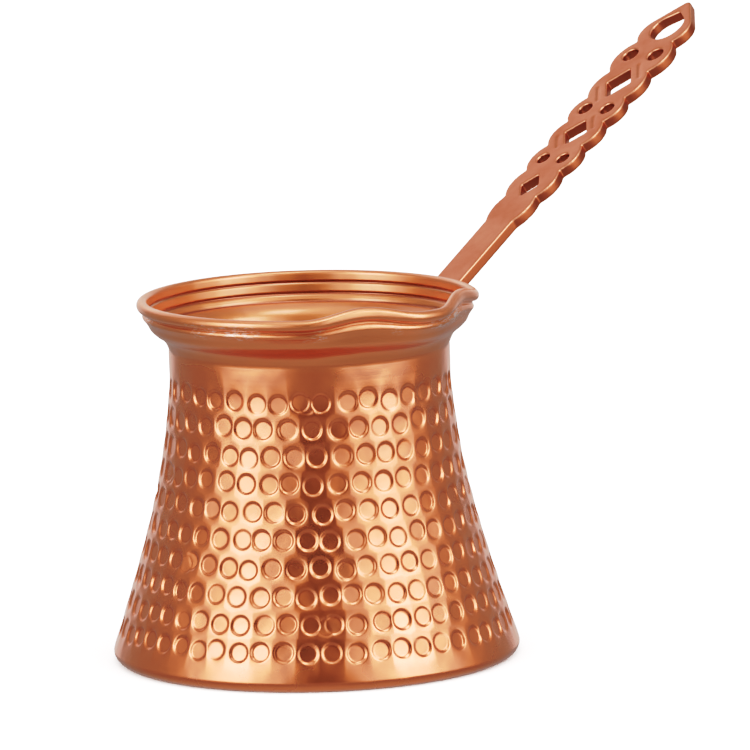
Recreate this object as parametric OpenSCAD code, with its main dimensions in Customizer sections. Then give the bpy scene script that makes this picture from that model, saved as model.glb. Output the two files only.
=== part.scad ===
// Turkish coffee pot (cezve).
// A spun copper pot with a wide base, a narrow neck and a stepped, beaded rim pinched into
// a pouring lip. A cast openwork handle is riveted to the neck through a trefoil foot.
// The pot stands on z = 0 about the Z axis. The handle leaves along +X, and the lip pours
// to the handle's right, towards -Y.

/* [Pot] */
// Widest diameter, just above the base
base_d = 100; // [92:1:108]
// Outside diameter of the neck
neck_d = 69; // [66:0.5:72]
// Outside diameter of the rolled rim
rim_d = 84.2; // [81:0.2:87]
// Height to the top of the rim
pot_h = 89.5; // [86:0.5:96]
// Thickness of the copper sheet
sheet_t = 1; // [0.8:0.1:1.2]
// Radius of the corner between base and side
corner_r = 2.6; // [2:0.1:3.2]
// Radius of the rolled bead round the rim
bead_r = 1.4; // [1.2:0.1:1.6]

/* [Pouring lip] */
// Direction of the lip, measured round from the handle
lip_angle = 88; // [80:1:95]
// Angle from the middle of the lip to each pinch
pinch_angle = 26; // [23:1:29]
// How far each pinch pushes the rim in
pinch_in = 2.1; // [1:0.1:2.6]
// How far each pinch lifts the rim
pinch_rise = 2.2; // [1:0.1:2.8]
// How far the trough between the pinches swells out
trough_out = 0.9; // [0.4:0.1:1.8]

/* [Handle] */
// Slope of the handle above level
handle_slope = 34; // [30:0.5:38]
// Turn of the blade about its own length
handle_twist = 6; // [0:0.5:8]
// Thickness of the casting
handle_t = 2.8; // [2.4:0.1:3.2]
// Width of the plain shank
shank_w = 10; // [8:0.2:10.6]
// Length of the plain shank, from the neck to the first lobe
shank_l = 41.6; // [36:0.2:46]

/* [Rivets] */
// Diameter of the rivet shanks
rivet_d = 3.6; // [3:0.1:4]
// Diameter of the rivet heads
rivet_head_d = 6.4; // [6:0.1:6.8]
// Height of the domed outer heads
rivet_dome = 1.5; // [1.2:0.1:1.8]

/* [Hidden] */
$fn = 96;
around = 72;

copper = [0.80, 0.47, 0.30];
cast_copper = [0.74, 0.46, 0.36];

base_r = base_d / 2;
neck_r = neck_d / 2;
bead_x = rim_d / 2 - bead_r;
bead_z = pot_h - bead_r;

// The side sweeps in from the corner to the neck, steep at first and upright at the end.
neck_z = pot_h - 13;
flank_start = 1.12;
flank_end = 1.93;
flank_steps = 10;
function side_r(z) =
    let (t = min(1, (z - corner_r) / (neck_z - corner_r)))
    neck_r + (base_r - neck_r) * pow(1 - pow(t, flank_start), flank_end);
function side_slope(z) = (side_r(z + 0.05) - side_r(z)) / 0.05;
// A point of the side, moved d outwards square to the sheet
function side_point(z, d) =
    let (s = side_slope(z), n = sqrt(1 + s * s))
    [side_r(z) + d / n, z - d * s / n];
corner_steps = 3;
corner_end = -15;
function corner_arc(r, from, to) =
    [for (i = [0 : corner_steps]) let (a = from + (to - from) * i / corner_steps)
        [base_r - corner_r + r * cos(a), corner_r + r * sin(a)]];
function flank(d, from, to) =
    [for (i = [0 : flank_steps]) side_point(from + (to - from) * i / flank_steps, d)];

// The flare above the neck: a sweep out to a brink, a band up to a knuckle, a narrow groove,
// and then the rolled bead. The stations are on the middle of the sheet, and those up to the
// knuckle are shares of the way out and of the way up to it from the neck.
flare_z = neck_z + 1;
knuckle = [rim_d / 2 - 1.85, pot_h - 4.05];
groove = knuckle + [-0.35, 0.75];
bead_join = [bead_x - 0.35, bead_z - 0.4 * bead_r];
sweep = [[0, 0], [0.12, 0.21], [0.27, 0.36], [0.51, 0.49], [0.68, 0.61]];
band = [[0.75, 0.69], [0.83, 0.81], [0.94, 0.93], [1, 1]];
flare_foot = [neck_r - sheet_t / 2, flare_z];
flare_line = concat(
    [for (share = concat(sweep, band))
        [for (i = [0, 1]) flare_foot[i] + share[i] * (knuckle[i] - flare_foot[i])]],
    [groove, bead_join]
);
function unit(v) = v / norm(v);
function path_normal(line, i) =
    let (a = line[max(0, i - 1)], b = line[min(len(line) - 1, i + 1)], t = unit(b - a))
    [t[1], -t[0]];
function path_side(line, d) = [for (i = [0 : len(line) - 1]) line[i] + d * path_normal(line, i)];
function reversed(list) = [for (i = [len(list) - 1 : -1 : 0]) list[i]];
// The pot's closed section, from the middle of the underside up the outside, over the bead
// and down the inside to the middle of the floor
bead_from = -62;
bead_to = 215;
bead_steps = 8;
section = concat(
    corner_arc(corner_r, -90, corner_end),
    flank(0, corner_r, neck_z),
    path_side(flare_line, sheet_t / 2),
    [for (i = [0 : bead_steps]) let (a = bead_from + (bead_to - bead_from) * i / bead_steps)
        [bead_x, bead_z] + bead_r * [cos(a), sin(a)]],
    reversed(path_side(flare_line, -sheet_t / 2)),
    reversed(flank(-sheet_t, corner_r, neck_z)),
    corner_arc(corner_r - sheet_t, corner_end, -90)
);

// The lip: two pinches push the rim in and up, and the trough between them swells out.
// Each fades to nothing over so many degrees.
pinch_half = 23;
trough_half = 18;
function bump(a, middle, half) =
    abs(a - middle) < half ? (1 + cos(180 * (a - middle) / half)) / 2 : 0;
function pinches(a) = bump(a, -pinch_angle, pinch_half) + bump(a, pinch_angle, pinch_half);
function rim_shift(a) = trough_out * bump(a, 0, trough_half) - pinch_in * pinches(a);
function rim_lift(a) = pinch_rise * pinches(a);
// The rim moves in full, and the flare below it less and less down to the neck.
lip_fade = 1.5;
function lip_share(z) = pow(max(0, min(1, (z - flare_z) / (bead_z - flare_z))), lip_fade);
// A point of the section, turned to the angle a from the middle of the lip
function pot_point(p, a) =
    let (share = lip_share(p[1]), r = p[0] + share * rim_shift(a))
    [r * cos(a - lip_angle), r * sin(a - lip_angle), p[1] + share * rim_lift(a)];

// Where the handle meets the neck, and the sizes of its foot
handle_z = neck_z - 0.55;
foot_lobe_r = 5.2;
foot_side_y = 6.4;
foot_side_z = neck_z - 4;
foot_low_z = foot_side_z - 9.5;
foot_top_z = handle_z + 1.5;
foot_gap = 0.05;
// The rivets: room round a shank, how far a shank runs into its heads, inner head thickness,
// and how far the holes run outside the neck and to either side of its wall
rivet_gap = 0.03;
rivet_sink = 0.5;
rivet_inner_t = 1.2;
hole_reach = 12;
wall_reach = 4;
rivet_side_a = asin(foot_side_y / (neck_r + handle_t / 2));
rivets_at = [[-rivet_side_a, foot_side_z], [rivet_side_a, foot_side_z], [0, foot_low_z]];
// The part of the neck that the foot and the rivets touch starts here
touch_z = neck_z / 2;

// The blade: lobes in a row, each with its length and its width, and the notches between
// them. A core runs down the middle, inside the notches.
lobe_l = [9.0, 9.6, 9.8, 9.4, 9.2, 10.2, 11.2];
lobe_w = [13.2, 15.4, 16.6, 16.6, 17.8, 17.8, 19.2];
notch_w = [10.2, 12, 12.4, 12.4, 13.2, 14, 14, 14.4];
core_in = 1.2;
lobe_room = 1;
function lobe_start(i) = i == 0 ? shank_l : lobe_start(i - 1) + lobe_l[i - 1];
function lobe_mid(i) = lobe_start(i) + lobe_l[i] / 2;
// The last lobe: two arcs that run straight into a rounded tip
last_start = lobe_start(6) + lobe_l[6];
last_mid = last_start + 5;
last_w = 16.8;
last_r = 6;
tip_r = 1.5;
blade_l = last_start + 16.4;
tip_x = blade_l - tip_r;
// Openings in the blade. Diamonds are in lobes 2, 4 and 6, and eyes in lobes 3, 5 and 7.
// Each has its lobe and its shift along it, then length and width, or spacing and diameter.
diamonds = [[1, -1, 8.2, 6.2], [3, 0.2, 9.2, 7.8], [5, 0.6, 11, 8.6]];
eyes = [[2, -0.3, 7.2, 3.6], [4, 0.2, 8.1, 4], [6, 1, 9.2, 4.5]];
drop_r = 4.8;
drop_x = last_start + drop_r + 1.6;
drop_point = 6;
// The cuts beside the two larger diamonds
mark_w = 0.8;
mark_deep = 0.4;
mark_slope = 38;
mark_share = 0.64;
mark_at = [-0.41, 0.46];

module pot_body() {
    color(copper)
    difference() {
        shell();
        for (r = rivets_at)
            rivet_hole(r, neck_r + wall_reach);
    }
}

// The pot in one piece: the section swept round the axis and bent into the lip
module shell() {
    m = len(section);
    points = [for (j = [0 : around - 1]) for (p = section)
        pot_point(p, 360 * j / around - 180)];
    walls = [for (j = [0 : around - 1]) for (k = [0 : m - 2])
        let (a = j * m + k, b = (j + 1) % around * m + k)
        each [[a, a + 1, b + 1], [a, b + 1, b]]];
    underside = [for (j = [0 : around - 1]) j * m];
    floor = [for (j = [around - 1 : -1 : 0]) j * m + m - 1];
    polyhedron(points, concat(walls, [underside, floor]), convexity = 8);
}

// Everything inside the neck's outer surface, moved d outwards, up to the height top
module neck_core(d, top) {
    rotate_extrude()
        polygon(concat(
            [[0, touch_z]],
            flank(d, touch_z, neck_z),
            [[neck_r + d, top], [0, top]]
        ));
}

// The same with the flare above the neck
module pot_core(d) {
    rotate_extrude()
        polygon(concat(
            [[0, touch_z]],
            flank(d, touch_z, neck_z),
            path_side(flare_line, sheet_t / 2 + d),
            [[0, bead_z]]
        ));
}

// Puts a rivet's parts at its place on the neck, with Z pointing away from the pot
module at_rivet(r) {
    rotate([0, 0, r[0]])
        translate([0, 0, r[1]])
            rotate([0, 90, 0])
                children();
}

// A hole from inside the pot out to the distance reach from its axis
module rivet_hole(r, reach) {
    from = neck_r - wall_reach;
    at_rivet(r)
        translate([0, 0, from])
            cylinder(h = reach - from, d = rivet_d + 2 * rivet_gap);
}

module handle() {
    color(cast_copper)
    difference() {
        union() {
            foot();
            translate([neck_r, 0, handle_z])
                rotate([0, -handle_slope, 0])
                    rotate([-handle_twist, 0, 0])
                        blade();
        }
        pot_core(foot_gap);
        for (r = rivets_at)
            rivet_hole(r, neck_r + hole_reach);
    }
}

// A trefoil plate that hugs the neck
module foot() {
    intersection() {
        rotate([90, 0, 90])
            linear_extrude(neck_r + hole_reach)
                foot_outline();
        neck_core(foot_gap + handle_t, foot_top_z + 1);
    }
}

module foot_outline() {
    for (y = [-foot_side_y, foot_side_y])
        translate([y, foot_side_z])
            circle(foot_lobe_r);
    translate([0, foot_low_z])
        circle(foot_lobe_r);
    polygon([
        [-foot_side_y, foot_side_z],
        [0, foot_low_z],
        [foot_side_y, foot_side_z],
        [shank_w / 2, foot_top_z],
        [-shank_w / 2, foot_top_z]
    ]);
}

// The shank and the openwork, flat along X with their middle plane on z = 0
module blade() {
    difference() {
        translate([0, 0, -handle_t / 2])
            linear_extrude(handle_t)
                difference() {
                    blade_outline();
                    blade_openings();
                }
        blade_marks();
    }
}

module blade_outline() {
    translate([0, -shank_w / 2])
        square([lobe_mid(0), shank_w]);
    polygon([
        [lobe_mid(0), -notch_w[0] / 2 + core_in],
        [last_mid, -notch_w[7] / 2 + core_in],
        [last_mid, notch_w[7] / 2 - core_in],
        [lobe_mid(0), notch_w[0] / 2 - core_in]
    ]);
    for (i = [0 : 6])
        for (side = [0, 1])
            mirror([0, side])
                lobe(lobe_mid(i), lobe_l[i], lobe_w[i], (notch_w[i] + notch_w[i + 1]) / 2);
    last_lobe();
}

// Half of one lobe: an arc over its length l, which rises from the notches to the width w
module lobe(x, l, w, w_notch) {
    rise = (w - w_notch) / 2;
    arc_r = (l * l / 4 + rise * rise) / (2 * rise);
    intersection() {
        translate([x, w / 2 - arc_r])
            circle(arc_r);
        translate([x - arc_r - lobe_room, 0])
            square(2 * (arc_r + lobe_room));
    }
}

module last_lobe() {
    side_y = last_w / 2 - last_r;
    run = [tip_x - last_mid, -side_y];
    a = atan2(run[1], run[0]) + acos((last_r - tip_r) / norm(run));
    for (side = [-1, 1])
        translate([last_mid, side * side_y])
            circle(last_r);
    translate([tip_x, 0])
        circle(tip_r);
    polygon([
        [last_mid, 0],
        [last_mid + last_r * cos(a), -side_y - last_r * sin(a)],
        [tip_x + tip_r * cos(a), -tip_r * sin(a)],
        [tip_x + tip_r * cos(a), tip_r * sin(a)],
        [last_mid + last_r * cos(a), side_y + last_r * sin(a)]
    ]);
}

module blade_openings() {
    for (d = diamonds)
        translate([lobe_mid(d[0]) + d[1], 0])
            polygon([[-d[2] / 2, 0], [0, -d[3] / 2], [d[2] / 2, 0], [0, d[3] / 2]]);
    for (e = eyes)
        for (side = [-1, 1])
            translate([lobe_mid(e[0]) + e[1], side * e[2] / 2])
                circle(d = e[3]);
    drop_a = acos(drop_r / drop_point);
    translate([drop_x, 0]) {
        circle(drop_r);
        polygon([
            [0, 0],
            [drop_r * cos(drop_a), -drop_r * sin(drop_a)],
            [drop_point, 0],
            [drop_r * cos(drop_a), drop_r * sin(drop_a)]
        ]);
    }
}

// Cuts along the crossing straps, on two sides of the larger diamonds
module blade_marks() {
    for (d = [diamonds[1], diamonds[2]])
        for (turn = [0, 180])
            translate([lobe_mid(d[0]) + d[1], 0, handle_t / 2])
                rotate([0, 0, turn])
                    translate([mark_at[0] * d[2], mark_at[1] * d[3], 0])
                        rotate([0, 0, mark_slope])
                            cube([mark_share * d[2], mark_w, 2 * mark_deep], center = true);
}

// Three rivets, each with a flat head inside the pot and a dome outside the foot
module rivets() {
    color(copper)
    for (r = rivets_at)
        rivet(r);
}

module rivet(r) {
    face = side_r(r[1]);
    seat = face + foot_gap + handle_t;
    dome_r = (rivet_head_d * rivet_head_d / 4 + rivet_dome * rivet_dome) / (2 * rivet_dome);
    at_rivet(r)
        translate([0, 0, face - sheet_t - rivet_sink])
            cylinder(h = sheet_t + handle_t + 2 * rivet_sink, d = rivet_d);
    difference() {
        at_rivet(r)
            intersection() {
                translate([0, 0, seat + rivet_dome - dome_r])
                    sphere(dome_r);
                translate([0, 0, seat - rivet_sink])
                    cylinder(h = rivet_dome + 2 * rivet_sink, d = rivet_head_d);
            }
        neck_core(handle_t + 2 * foot_gap, foot_top_z);
    }
    intersection() {
        at_rivet(r)
            translate([0, 0, face - sheet_t - rivet_inner_t])
                cylinder(h = 2 * rivet_inner_t, d = rivet_head_d);
        neck_core(-sheet_t - foot_gap, foot_top_z);
    }
}

pot_body();
handle();
rivets();
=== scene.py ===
"""The looks of a Turkish coffee pot (cezve): a spun, punched copper pot, a cast handle and
three rivets. Lengths in the maths are millimetres, and MM turns them into metres. The
camera, the lights and the materials are in metres."""
import math
import random

import bpy
import numpy as np
from mathutils import Matrix, Vector


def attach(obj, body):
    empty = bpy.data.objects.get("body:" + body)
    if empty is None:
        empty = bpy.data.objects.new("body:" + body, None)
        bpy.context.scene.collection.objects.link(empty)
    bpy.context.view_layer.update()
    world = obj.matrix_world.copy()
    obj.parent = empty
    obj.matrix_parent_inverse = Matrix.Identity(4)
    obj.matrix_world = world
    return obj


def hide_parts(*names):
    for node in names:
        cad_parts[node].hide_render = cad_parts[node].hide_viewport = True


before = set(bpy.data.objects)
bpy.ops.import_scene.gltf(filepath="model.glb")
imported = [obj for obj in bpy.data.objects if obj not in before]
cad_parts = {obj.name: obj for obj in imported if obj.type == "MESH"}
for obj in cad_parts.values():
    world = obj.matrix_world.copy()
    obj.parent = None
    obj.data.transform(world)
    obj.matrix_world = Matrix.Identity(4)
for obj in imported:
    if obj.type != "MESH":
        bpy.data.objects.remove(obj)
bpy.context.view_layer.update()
MM = 0.001

# ---------------------------------------------------------------- camera
# The photograph's view: a long lens, a little above the pot, and a slight roll.
AZIMUTH, ELEVATION, ROLL = -44.3, 10.0, 1.41
DISTANCE, LENS, SENSOR, CLIP = 2.050, 400.5, 36, (0.1, 50)
AXIS_POINT = Vector((0, 0, 0.045))
AIM_RIGHT, AIM_UP = 0.01597, 0.02387


def camera_axes():
    a, e = math.radians(AZIMUTH), math.radians(ELEVATION)
    right = Vector((math.cos(a), math.sin(a), 0))
    back = Vector((math.sin(a) * math.cos(e), -math.cos(a) * math.cos(e), math.sin(e)))
    return right, back.cross(right), back


def add_camera():
    right, up, back = camera_axes()
    data = bpy.data.cameras.new("camera")
    data.lens, data.sensor_width = LENS, SENSOR
    data.clip_start, data.clip_end = CLIP
    camera = bpy.data.objects.new("camera", data)
    bpy.context.scene.collection.objects.link(camera)
    place = AXIS_POINT + back * DISTANCE
    aim = AXIS_POINT + right * AIM_RIGHT + up * AIM_UP
    turn = (aim - place).to_track_quat("-Z", "Y").to_matrix().to_4x4()
    roll = Matrix.Rotation(-math.radians(ROLL), 4, "Z")
    camera.matrix_world = Matrix.Translation(place) @ turn @ roll
    bpy.context.scene.camera = camera


add_camera()

# ---------------------------------------------------------------- pot shape, as in the CAD
BASE_R, NECK_R, RIM_R, POT_H = 50.0, 34.5, 42.1, 89.5
SHEET_T, CORNER_R, BEAD_R = 1.0, 2.6, 1.4
BEAD = np.array([RIM_R - BEAD_R, POT_H - BEAD_R])
NECK_Z, FLARE_Z = POT_H - 13.0, POT_H - 12.0
INNER_EDGE = math.radians(140)
# Creases inside the flare, where the sheet was folded out
CREASES, CREASE_HALF, CREASE_DEEP = np.array([82.3, 84.0, 86.7]), 0.3, 0.3
LIP_ANGLE, PINCH_ANGLE = -88.0, 26.0
PINCH_IN, PINCH_RISE, TROUGH_OUT = 2.1, 2.2, 0.9
PINCH_HALF, TROUGH_HALF, LIP_FADE = 23.0, 18.0, 1.5


def smooth(t):
    t = np.clip(t, 0, 1)
    return t * t * (3 - 2 * t)


def side_r(z):
    t = np.clip((z - CORNER_R) / (NECK_Z - CORNER_R), 0, 1)
    return NECK_R + (BASE_R - NECK_R) * (1 - t**1.12) ** 1.93


def side_points(z, d):
    """Points (r, z) of the side, moved d outwards square to the sheet."""
    slope = (side_r(z + 0.05) - side_r(z - 0.05)) / 0.1
    n = np.sqrt(1 + slope**2)
    return np.stack([side_r(z) + d / n, z - d * slope / n], axis=1)


def curve_through(points, steps):
    """A Catmull-Rom curve through 2D points."""
    p = np.array([2 * points[0] - points[1], *points, 2 * points[-1] - points[-2]])
    t = np.linspace(0, 1, steps, endpoint=False)[:, None]
    parts = []
    for a, b, c, d in zip(p, p[1:], p[2:], p[3:]):
        parts.append(
            0.5 * (2 * b + (c - a) * t + (2 * a - 5 * b + 4 * c - d) * t**2
                   + (3 * b - a - 3 * c + d) * t**3)
        )
    return np.vstack([*parts, p[-2]])


def offset(line, d):
    """A 2D line moved d to its right."""
    run = np.gradient(line, axis=0)
    run /= np.linalg.norm(run, axis=1)[:, None]
    return line + d * np.stack([run[:, 1], -run[:, 0]], axis=1)


def flare_sides():
    """The outer and inner faces of the flare, each up to where it meets the bead."""
    foot = np.array([NECK_R - SHEET_T / 2, FLARE_Z])
    knuckle = np.array([RIM_R - 1.85, POT_H - 4.05])
    shares = [(0, 0), (0.12, 0.21), (0.27, 0.36), (0.51, 0.49), (0.68, 0.61),
              (0.75, 0.69), (0.83, 0.81), (0.94, 0.93), (1, 1)]
    stations = [foot + np.array(share) * (knuckle - foot) for share in shares]
    stations += [knuckle + (-0.35, 0.75), BEAD - (0.35, 0.4 * BEAD_R)]
    outer = offset(curve_through(stations, 6), SHEET_T / 2)
    outer = outer[np.linalg.norm(outer - BEAD, axis=1) > BEAD_R + 0.02]
    # inside, a crease and then a plain cone up to the bead
    inner = offset(curve_through(stations[:7], 6), -SHEET_T / 2)
    top = BEAD + BEAD_R * np.array([math.cos(INNER_EDGE), math.sin(INNER_EDGE)])
    middle = (inner[-1] + top) / 2
    cone = curve_through([inner[-1], middle + (0.04, 0), top - (0.1, 0.5)], 12)
    inner = np.vstack([inner[:-1], cone])
    away = (inner[:, 1][:, None] - CREASES) / CREASE_HALF
    crease = np.exp(-(away**2)).sum(axis=1)
    return outer, offset(inner, CREASE_DEEP * crease[:, None]), crease


def bump(a, middle, half):
    x = np.abs(a - middle) / half
    return np.where(x < 1, (1 + np.cos(np.pi * np.minimum(x, 1))) / 2, 0)


def bent(points):
    """The section's points (r, z), each turned to every angle, and bent into the lip.
    points has the shape (columns, 2)."""
    columns = len(points)
    turn = np.linspace(-180, 180, columns, endpoint=False)
    from_lip = (turn - LIP_ANGLE + 180) % 360 - 180
    pinches = bump(from_lip, -PINCH_ANGLE, PINCH_HALF) + bump(from_lip, PINCH_ANGLE, PINCH_HALF)
    share = np.clip((points[:, 1] - FLARE_Z) / (BEAD[1] - FLARE_Z), 0, 1) ** LIP_FADE
    shift = TROUGH_OUT * bump(from_lip, 0, TROUGH_HALF) - PINCH_IN * pinches
    r = points[:, 0] + share * shift
    z = points[:, 1] + share * PINCH_RISE * pinches
    return np.stack([r * np.cos(np.radians(turn)), r * np.sin(np.radians(turn)), z], axis=1)


# ---------------------------------------------------------------- punched dimples
ROWS, FIRST_ROW_Z, ROW_STEP, SPACING = 10, 9.25, 6.55, 5.8
DIMPLE_R, FLOOR_R, DIMPLE_DEEP, CROWN = 2.7, 1.95, 0.34, 0.14
# Each blow also dishes the sheet round it, which fades to nothing at DISH_REACH
DISH_R, DISH_DEEP, DISH_REACH = 3.6, 0.34, 7.5
CAMERA_TURN = AZIMUTH - 90
# Where the middle dimple of each row sits, in degrees from the camera's side
ROW_TURNS = [-2.5, -1.8, -3.3, 1.5, -2.0, 3.0, 0.5, 2.7, 0.4, -4.0]
# How uneven hand punching is: place in mm, size and depth as shares, tilt as a slope
UNEVEN_TURN, UNEVEN_Z, UNEVEN_TILT = 0.32, 0.25, 0.035
UNEVEN_SIZE, UNEVEN_DEEP = (0.95, 1.05), (0.75, 1.15)
DOUBLE_SHARE, DOUBLE_TURN, DOUBLE_DROP = 0.035, 2.4, 0.5
SIDE_COLUMNS, SIDE_ROWS, INNER_ROWS = 1200, 260, 110
UNDERSIDE_DISH, INNER_RELIEF, INNER_SPREAD = 0.45, 0.7, 0.5


def punch_marks():
    """Each dimple's angle, height, radius, depth and tilt, punched by hand and so uneven."""
    rng = random.Random(7)
    marks = []
    for row in range(ROWS):
        z0 = FIRST_ROW_Z + row * ROW_STEP
        radius = float(side_r(z0))
        count = round(2 * math.pi * radius / SPACING)
        for i in range(count):
            turn = CAMERA_TURN + ROW_TURNS[row] + 360 * i / count
            turn += math.degrees(rng.gauss(0, UNEVEN_TURN) / radius)
            size = DIMPLE_R * rng.uniform(*UNEVEN_SIZE)
            deep = DIMPLE_DEEP * rng.uniform(*UNEVEN_DEEP)
            tilt = (rng.gauss(0, UNEVEN_TILT), rng.gauss(0, UNEVEN_TILT))
            marks.append((turn, z0 + rng.gauss(0, UNEVEN_Z), size, deep, tilt))
            if rng.random() < DOUBLE_SHARE:  # a second, lighter blow beside the first
                beside = turn + rng.choice((-DOUBLE_TURN, DOUBLE_TURN))
                marks.append((beside, z0 - DOUBLE_DROP, size, 0.5 * deep, tilt))
    return marks


def punched(columns, z, marks, spread=0.0):
    """How deep the sheet is pushed in at every angle and height, and which part is floor."""
    turn = np.linspace(-180, 180, columns, endpoint=False)
    slope = (side_r(z + 0.05) - side_r(z - 0.05)) / 0.1
    run = np.concatenate([[0], np.cumsum(np.diff(z) * np.sqrt(1 + slope[:-1] ** 2))])
    radius = side_r(z)
    deep = np.zeros((len(z), columns))
    dish = np.zeros((len(z), columns))
    floor = np.zeros((len(z), columns))
    for mark_turn, mark_z, size, mark_deep, tilt in marks:
        k = np.searchsorted(z, mark_z)
        mark_run = run[min(k, len(run) - 1)]
        rows = np.nonzero(np.abs(run - mark_run) < DISH_REACH)[0]
        away = (turn - mark_turn + 180) % 360 - 180
        cols = np.nonzero(np.abs(np.radians(away)) * radius[rows].max() < DISH_REACH)[0]
        across = np.radians(away[cols])[None, :] * radius[rows][:, None]
        up = (run[rows] - mark_run)[:, None] + np.zeros_like(across)
        d = np.hypot(across, up)
        wall = smooth((size + spread - d) / (size + spread - FLOOR_R + spread))
        flat = 1 - CROWN * np.clip(1 - (d / FLOOR_R) ** 2, 0, 1)
        lean = (tilt[0] * across + tilt[1] * up) * wall
        here = np.ix_(rows, cols)
        deep[here] = np.maximum(deep[here], mark_deep * wall * flat + lean)
        dish[here] = np.maximum(dish[here], DISH_DEEP * np.exp(-((d / DISH_R) ** 2)))
        floor[here] = np.maximum(floor[here], smooth((FLOOR_R + 0.1 - d) / 0.3))
    return deep + dish, floor


# ---------------------------------------------------------------- meshes
def bridge(a, n, b, m):
    """Faces between ring a of n points and ring b of m points, where m is n, n/2 or 2n.
    a and b are the first vertices of the rings."""
    j = np.arange(min(n, m))
    k = (j + 1) % min(n, m)
    if n == m:
        return np.stack([a + j, a + k, b + k, b + j], axis=1).tolist()
    if m < n:
        first, second, third = a + 2 * j, a + 2 * j + 1, a + (2 * j + 2) % n
        tris = [(first, second, b + j), (second, third, b + k), (second, b + k, b + j)]
    else:
        first, second, third = b + 2 * j, b + 2 * j + 1, b + (2 * j + 2) % m
        tris = [(a + j, a + k, second), (a + j, second, first), (a + k, third, second)]
    return [f for t in tris for f in np.stack(t, axis=1).tolist()]


def rings_mesh(name, rings):
    """A closed mesh from rings of points, with a point at each end."""
    verts, faces, start = [rings[0].mean(axis=0)[None]], [], 1
    n = len(rings[0])
    j = np.arange(n)
    faces += np.stack([np.zeros(n, int), 1 + (j + 1) % n, 1 + j], axis=1).tolist()
    for i, ring in enumerate(rings):
        verts.append(ring)
        if i + 1 < len(rings):
            faces += bridge(start, len(ring), start + len(ring), len(rings[i + 1]))
            start += len(ring)
    n = len(rings[-1])
    j = np.arange(n)
    faces += np.stack([start + j, start + (j + 1) % n, np.full(n, start + n)], axis=1).tolist()
    verts.append(rings[-1].mean(axis=0)[None])
    mesh = bpy.data.meshes.new(name)
    mesh.from_pydata((np.vstack(verts) * MM).tolist(), [], faces)
    mesh.shade_smooth()
    mesh.validate()
    return mesh


def add_piece(name, mesh, material):
    piece = bpy.data.objects.new(name, mesh)
    bpy.context.scene.collection.objects.link(piece)
    mesh.materials.clear()
    mesh.materials.append(material)
    return piece


def pot_mesh():
    """The pot as one closed surface of rings, from the middle of the underside, up outside,
    over the bead and down inside. Each point also carries marks for the material."""
    rings, floors, insides, creases = [], [], [], []

    def add_ring(points, floor=0.0, inside=0.0, crease=0.0):
        rings.append(bent(points))
        floors.append(np.full(len(points), floor))
        insides.append(np.full(len(points), inside))
        creases.append(np.full(len(points), crease))

    def add(columns, r, z, inside=0.0, crease=0.0):
        points = np.stack([np.full(columns, r), np.full(columns, z)], axis=1)
        add_ring(points, 0.0, inside, crease)

    # the underside, slightly dished so that the pot stands on its edge
    full, half = SIDE_COLUMNS, SIDE_COLUMNS // 2
    edge = BASE_R - CORNER_R
    for r in np.linspace(1.0, 12, 6):
        add(full // 8, r, UNDERSIDE_DISH)
    for r in np.linspace(14, 38, 10):
        add(full // 4, r, UNDERSIDE_DISH)
    for r in np.linspace(39, 43, 6):
        add(half, r, UNDERSIDE_DISH * (1 - float(smooth((r - 39.5) / 3))))
    add(half, edge - 1.2, 0.0)
    for a in np.radians(np.linspace(-90, -9, 10)):
        add(full, edge + CORNER_R * math.cos(a), CORNER_R + CORNER_R * math.sin(a))
    # the punched side
    marks = punch_marks()
    z = np.linspace(CORNER_R, NECK_Z, SIDE_ROWS)
    deep, floor = punched(full, z, marks)
    normal = side_points(z, 1.0) - side_points(z, 0.0)
    for k in range(SIDE_ROWS):
        base = side_points(z[k : k + 1], 0.0)[0]
        add_ring(base - deep[k][:, None] * normal[k], floor[k])
    # the flare, the rolled bead and the flare's inner face
    outer, inner, crease = flare_sides()
    for r, h in outer:
        add(half, r, h)
    start = math.degrees(math.atan2(*(outer[-1] - BEAD)[::-1]))
    for a in np.linspace(math.radians(start), INNER_EDGE, 22)[1:]:
        add(half, BEAD[0] + BEAD_R * math.cos(a), BEAD[1] + BEAD_R * math.sin(a))
    for (r, h), dark in zip(inner[::-1], crease[::-1]):
        add(half, r, h, 1.0, dark)
    # the inside, where the dimples show as soft swellings
    z = np.linspace(CORNER_R, NECK_Z, INNER_ROWS)
    deep, _ = punched(half, z, marks, spread=INNER_SPREAD)
    normal = side_points(z, 1.0) - side_points(z, 0.0)
    for k in range(INNER_ROWS - 1, -1, -1):
        base = side_points(z[k : k + 1], -SHEET_T)[0]
        add_ring(base - INNER_RELIEF * deep[k][:, None] * normal[k], 0.0, 1.0)
    r = CORNER_R - SHEET_T
    for a in np.radians(np.linspace(-15, -90, 7)):
        add(half, edge + r * math.cos(a), CORNER_R + r * math.sin(a), 1.0)
    for r in np.linspace(44, 16, 12):
        add(half // 2, r, SHEET_T, 1.0)
    for r in np.linspace(13, 1, 5):
        add(full // 8, r, SHEET_T, 1.0)
    mesh = rings_mesh("pot", rings)
    for name, values in (("punched", [[0], *floors, [0]]), ("inside", [[0], *insides, [1]]),
                         ("crease", [[0], *creases, [0]])):
        mark = mesh.attributes.new(name, "FLOAT", "POINT")
        mark.data.foreach_set("value", np.concatenate(values).astype(np.float32))
    return mesh


# ---------------------------------------------------------------- materials
# Heights in metres between which the brushed flare and the rim's wear fade in and out
BRUSHED_STARTS = (0.0755, 0.0785)
WEAR_STARTS, WEAR_ENDS = (0.0838, 0.0848), (0.0862, 0.0886)
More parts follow.
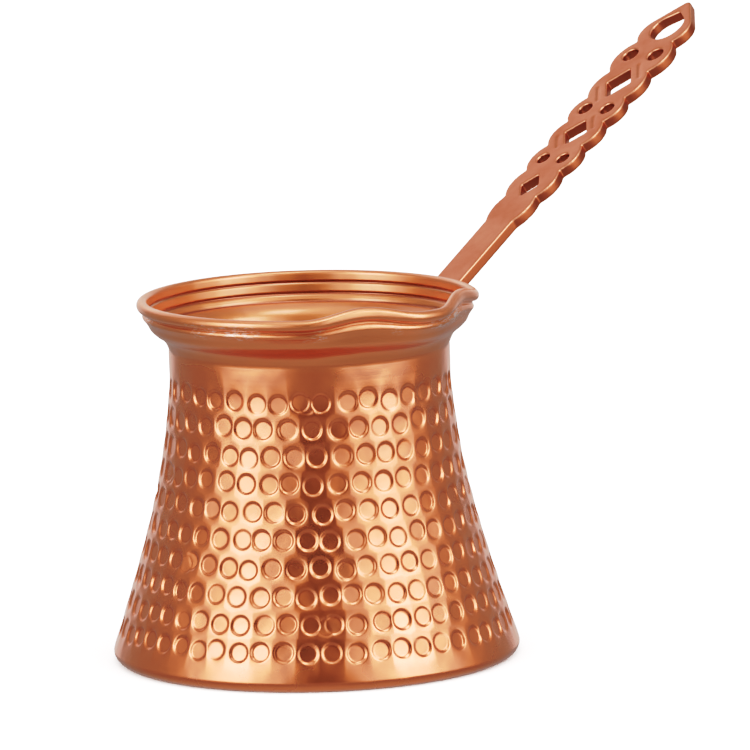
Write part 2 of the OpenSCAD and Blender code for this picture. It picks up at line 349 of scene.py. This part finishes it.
# Colours of the marks on the spun copper, and then on the casting
# The first three colours are painted shade: on the dimples' walls, over the inside, and along the
# creases
DIMPLE_WALL_SHADE, INSIDE_SHADE, CREASE_SHADE = (0.66, 0.17, 0.06), (0.68, 0.25, 0.10), (0.26, 0.06, 0.025)
BRUSHED, SCRATCHED = (0.80, 0.29, 0.13), (0.86, 0.74, 0.68)
# Both casting colours are painted: shade on the blade's sides and a highlight along its edges
PAINTED_SIDE_SHADE, PAINTED_EDGE_HIGHLIGHT = (0.46, 0.16, 0.088), (0.82, 0.40, 0.26)


def node_material(name):
    material = bpy.data.materials.new(name)
    material.use_nodes = True
    return material, material.node_tree.nodes, material.node_tree.links


def add_noise(nodes, links, source, scale, detail=3.0, rough=0.55, stretch=None):
    noise = nodes.new("ShaderNodeTexNoise")
    noise.inputs["Scale"].default_value = scale
    noise.inputs["Detail"].default_value = detail
    noise.inputs["Roughness"].default_value = rough
    if stretch:
        mapping = nodes.new("ShaderNodeMapping")
        mapping.inputs["Scale"].default_value = stretch
        links.new(source, mapping.inputs["Vector"])
        source = mapping.outputs["Vector"]
    links.new(source, noise.inputs["Vector"])
    return noise.outputs["Fac"]


def add_range(nodes, links, source, low, high, to_low, to_high):
    mapped = nodes.new("ShaderNodeMapRange")
    mapped.inputs["From Min"].default_value = low
    mapped.inputs["From Max"].default_value = high
    mapped.inputs["To Min"].default_value = to_low
    mapped.inputs["To Max"].default_value = to_high
    links.new(source, mapped.inputs["Value"])
    return mapped.outputs["Result"]


def add_mix(nodes, links, factor, a, b):
    mix = nodes.new("ShaderNodeMix")
    mix.data_type = "RGBA"
    links.new(factor, mix.inputs["Factor"])
    for socket, value in ((mix.inputs["A"], a), (mix.inputs["B"], b)):
        if isinstance(value, tuple):
            socket.default_value = (*value, 1)
        else:
            links.new(value, socket)
    return mix.outputs["Result"]


def add_bump(nodes, links, height, distance, strength, normal=None):
    bump_node = nodes.new("ShaderNodeBump")
    bump_node.inputs["Distance"].default_value = distance
    bump_node.inputs["Strength"].default_value = strength
    links.new(height, bump_node.inputs["Height"])
    if normal:
        links.new(normal, bump_node.inputs["Normal"])
    return bump_node.outputs["Normal"]


def add_maths(nodes, links, operation, a, b):
    node = nodes.new("ShaderNodeMath")
    node.operation = operation
    for socket, value in zip(node.inputs, (a, b)):
        if isinstance(value, (int, float)):
            socket.default_value = value
        else:
            links.new(value, socket)
    return node.outputs[0]


def add_mark(nodes, name):
    mark = nodes.new("ShaderNodeAttribute")
    mark.attribute_name = name
    return mark.outputs["Fac"]


def add_height(nodes, links, place):
    axes = nodes.new("ShaderNodeSeparateXYZ")
    links.new(place, axes.inputs[0])
    return axes.outputs["Z"]


def worn_knuckle(nodes, links, z, place):
    """Where the knuckle and the bead are scratched: patches of short lines along the rim."""
    low = add_range(nodes, links, z, *WEAR_STARTS, 0, 1)
    high = add_range(nodes, links, z, *WEAR_ENDS, 1, 0)
    patches = add_range(nodes, links, add_noise(nodes, links, place, 70, 2), 0.5, 0.6, 0, 1)
    lines = add_noise(nodes, links, place, 1, 4, 0.7, stretch=(500, 500, 2600))
    lines = add_range(nodes, links, lines, 0.5, 0.6, 0, 1)
    band = add_maths(nodes, links, "MULTIPLY", low, high)
    worn = add_maths(nodes, links, "MULTIPLY", patches, lines)
    return add_maths(nodes, links, "MULTIPLY", worn, band)


def spun_copper():
    """Lacquered spun copper: fine lines round the axis, soft stains, painted shade on the walls
    of the dimples and in the creases, a brushed and duller flare, a duller inside with painted
    shade, and scratches on the knuckle."""
    material, nodes, links = node_material("spun_copper")
    shader = nodes["Principled BSDF"]
    place = nodes.new("ShaderNodeTexCoord").outputs["Object"]
    shader.inputs["Metallic"].default_value = 1.0
    shader.inputs["Anisotropic"].default_value = 0.2
    shader.inputs["Coat Weight"].default_value = 1.0
    shader.inputs["Coat Roughness"].default_value = 0.2
    shader.inputs["Coat IOR"].default_value = 1.75
    tangent = nodes.new("ShaderNodeTangent")
    tangent.direction_type, tangent.axis = "RADIAL", "Z"
    links.new(tangent.outputs["Tangent"], shader.inputs["Tangent"])
    stains = add_noise(nodes, links, place, 38, 4, 0.6)
    colour = add_mix(nodes, links, add_range(nodes, links, stains, 0.35, 0.7, 0, 1),
                     (0.88, 0.285, 0.125), (0.80, 0.245, 0.10))
    floor, inside = add_mark(nodes, "punched"), add_mark(nodes, "inside")
    outside = add_maths(nodes, links, "SUBTRACT", 1, inside)
    # a dimple's wall is where the floor's mark is half way between 0 and 1
    not_floor = add_maths(nodes, links, "SUBTRACT", 1, floor)
    wall = add_maths(nodes, links, "MULTIPLY", floor, not_floor)
    wall = add_range(nodes, links, wall, 0, 0.25, 0, 0.55)
    # painted shade: the dimples' walls are coloured darker than the sheet round them
    colour = add_mix(nodes, links, wall, colour, DIMPLE_WALL_SHADE)
    # painted shade: the whole inside of the pot is coloured darker than the outside
    colour = add_mix(nodes, links, inside, colour, INSIDE_SHADE)
    # painted shade: dark lines painted along the inner creases, which are also shallow real
    # grooves
    crease = add_range(nodes, links, add_mark(nodes, "crease"), 0.1, 0.9, 0, 0.7)
    colour = add_mix(nodes, links, crease, colour, CREASE_SHADE)
    z = add_height(nodes, links, place)
    brushed = add_range(nodes, links, z, *BRUSHED_STARTS, 0, 1)
    brushed_outside = add_maths(nodes, links, "MULTIPLY", brushed, outside)
    colour = add_mix(nodes, links, brushed_outside, colour, BRUSHED)
    worn = worn_knuckle(nodes, links, z, place)
    worn = add_maths(nodes, links, "MULTIPLY", worn, outside)
    colour = add_mix(nodes, links, worn, colour, SCRATCHED)
    links.new(colour, shader.inputs["Base Color"])
    lines = add_noise(nodes, links, place, 1, 5, 0.75, stretch=(9, 9, 2600))
    wide_lines = add_noise(nodes, links, place, 1, 2, 0.5, stretch=(3, 3, 420))
    roughness = add_range(nodes, links, stains, 0.3, 0.7, 0.24, 0.33)
    dull = add_maths(nodes, links, "ADD", add_maths(nodes, links, "MULTIPLY", inside, 0.04),
                     add_maths(nodes, links, "MULTIPLY", brushed, 0.07))
    links.new(add_maths(nodes, links, "ADD", roughness, dull), shader.inputs["Roughness"])
    normal = add_bump(nodes, links, lines, 0.00004, 0.35)
    normal = add_bump(nodes, links, wide_lines, 0.0001, 0.3, normal)
    normal = add_bump(nodes, links, add_noise(nodes, links, place, 150, 1), 0.0006, 0.5, normal)
    links.new(normal, shader.inputs["Normal"])
    return material


def cast_copper():
    """The handle: a copper-washed casting with a matte skin and fine pits, with painted shade on
    its sides and a painted highlight along its edges, which are also a little less rough."""
    material, nodes, links = node_material("cast_copper")
    shader = nodes["Principled BSDF"]
    place = nodes.new("ShaderNodeTexCoord").outputs["Object"]
    shader.inputs["Metallic"].default_value = 1.0
    stains = add_noise(nodes, links, place, 120, 4, 0.6)
    colour = add_mix(nodes, links, add_range(nodes, links, stains, 0.35, 0.7, 0, 1),
                     (0.62, 0.255, 0.155), (0.53, 0.195, 0.11))
    side = add_mark(nodes, "side")
    side_shade = add_range(nodes, links, side, 0.55, 0.85, 0, 1)
    rounded = add_range(nodes, links, side, 0.06, 0.25, 0, 1)
    edge = add_maths(nodes, links, "MULTIPLY", rounded,
                     add_maths(nodes, links, "SUBTRACT", 1, side_shade))
    # painted shade: the blade's sides are coloured darker
    colour = add_mix(nodes, links, side_shade, colour, PAINTED_SIDE_SHADE)
    # painted highlight: the rounded edges are coloured brighter
    colour = add_mix(nodes, links, edge, colour, PAINTED_EDGE_HIGHLIGHT)
    links.new(colour, shader.inputs["Base Color"])
    roughness = add_range(nodes, links, stains, 0.3, 0.7, 0.34, 0.44)
    polish = add_maths(nodes, links, "MULTIPLY", edge, 0.06)
    links.new(add_maths(nodes, links, "SUBTRACT", roughness, polish), shader.inputs["Roughness"])
    grain = add_noise(nodes, links, place, 2600, 3, 0.6)
    links.new(add_bump(nodes, links, grain, 0.00005, 0.3), shader.inputs["Normal"])
    return material


def rivet_copper():
    """The rivets: bright hammered heads."""
    material, nodes, links = node_material("rivet_copper")
    shader = nodes["Principled BSDF"]
    place = nodes.new("ShaderNodeTexCoord").outputs["Object"]
    shader.inputs["Metallic"].default_value = 1.0
    stains = add_noise(nodes, links, place, 700, 3, 0.6)
    colour = add_mix(nodes, links, add_range(nodes, links, stains, 0.35, 0.7, 0, 1),
                     (0.82, 0.34, 0.16), (0.66, 0.22, 0.10))
    links.new(colour, shader.inputs["Base Color"])
    links.new(add_range(nodes, links, stains, 0.3, 0.7, 0.28, 0.4), shader.inputs["Roughness"])
    links.new(add_bump(nodes, links, stains, 0.0001, 0.3), shader.inputs["Normal"])
    return material


# ---------------------------------------------------------------- pot
pot = add_piece("pot", pot_mesh(), spun_copper())
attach(pot, "root")
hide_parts("pot_body")

# ---------------------------------------------------------------- handle
HANDLE_T, HANDLE_SLOPE, HANDLE_TWIST, HANDLE_Z = 2.8, 34.0, 6.0, NECK_Z - 0.55
CAST_VOXEL, CAST_SOFTEN = 0.25, (0.5, 12)
BLADE_PLACE = (
    Matrix.Translation(Vector((NECK_R, 0, HANDLE_Z)) * MM)
    @ Matrix.Rotation(-math.radians(HANDLE_SLOPE), 4, "Y")
    @ Matrix.Rotation(-math.radians(HANDLE_TWIST), 4, "X")
)


def handle_mesh():
    """The frame's handle with the rounded edges of a casting: a copy of its shape is
    remeshed and smoothed along the blade's own axes. The mark side is 0 on the two faces of
    the blade and 1 on its sides."""
    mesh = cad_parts["handle"].data.copy()
    mesh.transform(BLADE_PLACE.inverted())
    rough = bpy.data.objects.new("rough_handle", mesh)
    bpy.context.scene.collection.objects.link(rough)
    remesh = rough.modifiers.new("remesh", "REMESH")
    remesh.mode, remesh.voxel_size = "VOXEL", CAST_VOXEL * MM
    soften = rough.modifiers.new("soften", "SMOOTH")
    soften.factor, soften.iterations = CAST_SOFTEN
    graph = bpy.context.evaluated_depsgraph_get()
    cast = bpy.data.meshes.new_from_object(rough.evaluated_get(graph))
    bpy.data.objects.remove(rough)
    normals = np.zeros(3 * len(cast.vertices))
    cast.vertices.foreach_get("normal", normals)
    side = cast.attributes.new("side", "FLOAT", "POINT")
    side.data.foreach_set("value", (1 - np.abs(normals[2::3])).astype(np.float32))
    cast.transform(BLADE_PLACE)
    cast.shade_smooth()
    return cast


handle = add_piece("handle_casting", handle_mesh(), cast_copper())
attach(handle, "root")
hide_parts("handle")

# ---------------------------------------------------------------- rivets
RIVET_R, HEAD_R, DOME, INNER_HEAD, FOOT_GAP = 1.8, 3.2, 1.5, 1.15, 0.05
FOOT_SIDE_Y, FOOT_SIDE_Z, FOOT_LOW_Z = 6.4, NECK_Z - 4, NECK_Z - 13.5
SIDE_TURN = math.degrees(math.asin(FOOT_SIDE_Y / (NECK_R + HANDLE_T / 2)))


def rivet_rings(turn, z, rng):
    """One rivet as rings along its own axis, from the inner head out to the dome."""
    wall = float(side_r(z))
    seat = wall + FOOT_GAP + HANDLE_T - 0.12
    back = wall - SHEET_T
    profile = [(x, back - INNER_HEAD) for x in (0.8, 1.8)]
    profile += [(2.6, back - INNER_HEAD + 0.04), (3.0, back - INNER_HEAD + 0.25)]
    profile += [(HEAD_R, back - 0.6), (HEAD_R, back), (RIVET_R, back + 0.05)]
    profile += [(RIVET_R, seat), (HEAD_R - 0.1, seat), (HEAD_R, seat + 0.25)]
    profile += [
        (HEAD_R * math.cos(a), seat + 0.25 + (DOME - 0.25) * math.sin(a))
        for a in np.radians(np.linspace(12, 84, 9))
    ]
    columns = 48
    a = np.linspace(0, 2 * np.pi, columns, endpoint=False)
    rings = []
    for r, h in profile:
        uneven = 1 + 0.02 * np.cos(3 * a + rng.uniform(0, 6)) * (r > RIVET_R)
        local = np.stack([np.full(columns, h), r * uneven * np.cos(a), r * uneven * np.sin(a)], 1)
        c, s = math.cos(math.radians(turn)), math.sin(math.radians(turn))
        x = local[:, 0] * c - local[:, 1] * s
        y = local[:, 0] * s + local[:, 1] * c
        rings.append(np.stack([x, y, z + local[:, 2]], axis=1))
    return rings


def rivets_mesh():
    rng = random.Random(3)
    whole = bpy.data.meshes.new("rivets")
    verts, faces = [], []
    for turn, z in ((-SIDE_TURN, FOOT_SIDE_Z), (SIDE_TURN, FOOT_SIDE_Z), (0, FOOT_LOW_Z)):
        one = rings_mesh("rivet", rivet_rings(turn, z, rng))
        faces += [[len(verts) + v for v in p.vertices] for p in one.polygons]
        verts += [v.co.copy() for v in one.vertices]
        bpy.data.meshes.remove(one)
    whole.from_pydata(verts, [], faces)
    whole.shade_smooth()
    return whole


rivets = add_piece("rivet_set", rivets_mesh(), rivet_copper())
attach(rivets, "root")
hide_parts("rivets")


# ---------------------------------------------------------------- studio
FLOOR_HALF, FLOOR_WHITE = 4.0, 0.93
# The world's brightness: for the floor, for reflections, and for those from the table
WORLD_BRIGHT, MIRROR_BRIGHT, TABLE_BRIGHT = 2.4, 0.33, 0.52
# The softboxes and other lights: turn from the camera in degrees, height, distance from
# the pot, size, brightness and, if not white, colour
SOFTBOXES = {
    "left_box": (-47, 0.41, 1.20, (1.45, 1.28), 0.85),
    "left_core": (-50, 0.25, 1.15, (0.50, 0.62), 1.65),
    "left_high": (-50, 0.72, 1.00, (0.50, 0.55), 2.6),
    "right_box": (57, 0.41, 1.20, (1.60, 1.28), 0.85),
    "right_core": (57, 0.25, 1.15, (0.46, 0.62), 1.5),
    "right_high": (60, 0.72, 1.00, (0.56, 0.55), 2.6),
    "top_box": (20, 1.30, 0.15, (1.3, 1.3), 0.68),
    "top_core": (36, 1.10, 0.45, (0.4, 0.4), 3.0),
    "back_wall": (180, 0.30, 1.50, (2.2, 1.2), 0.38, (1.0, 0.9, 0.86)),
    "handle_box": (-149, 0.95, 1.20, (1.2, 0.9), 0.5, (1.0, 0.95, 1.0)),
}


def add_floor():
    mesh = bpy.data.meshes.new("floor")
    s = FLOOR_HALF
    mesh.from_pydata([(-s, -s, 0), (s, -s, 0), (s, s, 0), (-s, s, 0)], [], [(0, 1, 2, 3)])
    floor = bpy.data.objects.new("floor", mesh)
    bpy.context.scene.collection.objects.link(floor)
    material, nodes, links = node_material("floor")
    nodes["Principled BSDF"].inputs["Base Color"].default_value = (*[FLOOR_WHITE] * 3, 1)
    nodes["Principled BSDF"].inputs["Roughness"].default_value = 0.9
    mesh.materials.append(material)
    floor.visible_glossy = False


def add_softbox(name, turn, height, away, size, bright, colour=(1, 1, 1)):
    """A soft light, turn degrees round from the camera, which points at the pot."""
    angle = math.radians(CAMERA_TURN + turn)
    place = Vector((away * math.cos(angle), away * math.sin(angle), height))
    data = bpy.data.lights.new(name, "AREA")
    data.shape, data.size, data.size_y = "RECTANGLE", *size
    data.energy, data.color = bright * math.pi * size[0] * size[1], colour
    light = bpy.data.objects.new(name, data)
    bpy.context.scene.collection.objects.link(light)
    turn_to = (Vector((0, 0, 0.06)) - place).to_track_quat("-Z", "Y")
    light.matrix_world = Matrix.Translation(place) @ turn_to.to_matrix().to_4x4()
    light.visible_camera = False


def dark_side(nodes, links):
    """The dark part of the studio, in front of the pot, between the softboxes."""
    angle, low = math.radians(CAMERA_TURN), math.radians(22)
    middle = (math.cos(angle) * math.cos(low), math.sin(angle) * math.cos(low), math.sin(low))
    along = nodes.new("ShaderNodeVectorMath")
    along.operation = "DOT_PRODUCT"
    along.inputs[1].default_value = middle
    links.new(nodes.new("ShaderNodeTexCoord").outputs["Generated"], along.inputs[0])
    return add_range(nodes, links, along.outputs["Value"], 0.87, 0.985, 1.0, 0.12)


def add_world():
    world = bpy.data.worlds.new("studio")
    bpy.context.scene.world = world
    world.use_nodes = True
    nodes, links = world.node_tree.nodes, world.node_tree.links
    plain = nodes["Background"]
    plain.inputs["Color"].default_value = (1, 1, 1, 1)
    plain.inputs["Strength"].default_value = WORLD_BRIGHT
    dim = nodes.new("ShaderNodeBackground")
    dim.inputs["Color"].default_value = (1.0, 0.93, 0.9, 1)
    axes = nodes.new("ShaderNodeSeparateXYZ")
    links.new(nodes.new("ShaderNodeTexCoord").outputs["Generated"], axes.inputs[0])
    table_light = add_range(nodes, links, axes.outputs["Z"], -0.9, -0.45,
                            TABLE_BRIGHT, MIRROR_BRIGHT)
    links.new(add_maths(nodes, links, "MULTIPLY", table_light, dark_side(nodes, links)),
              dim.inputs["Strength"])
    mix = nodes.new("ShaderNodeMixShader")
    links.new(nodes.new("ShaderNodeLightPath").outputs["Is Glossy Ray"], mix.inputs["Fac"])
    links.new(plain.outputs[0], mix.inputs[1])
    links.new(dim.outputs[0], mix.inputs[2])
    links.new(mix.outputs[0], nodes["World Output"].inputs["Surface"])


add_floor()
add_world()
for name, light in SOFTBOXES.items():
    add_softbox(name, *light)

# The tone curve: scene brightness up to TONE_WHITE, and what it becomes
TONE_WHITE = 2.0
TONE = [(0.04, 0.036), (0.08, 0.12), (0.16, 0.31), (0.32, 0.625), (0.6, 0.84)]


def set_tone():
    """A photograph's contrast: deep shadows and soft highlights."""
    view = bpy.context.scene.view_settings
    view.view_transform, view.use_curve_mapping = "Standard", True
    mapping = view.curve_mapping
    mapping.white_level = (TONE_WHITE,) * 3
    for point in TONE:
        mapping.curves[3].points.new(*point)
    mapping.update()


set_tone()
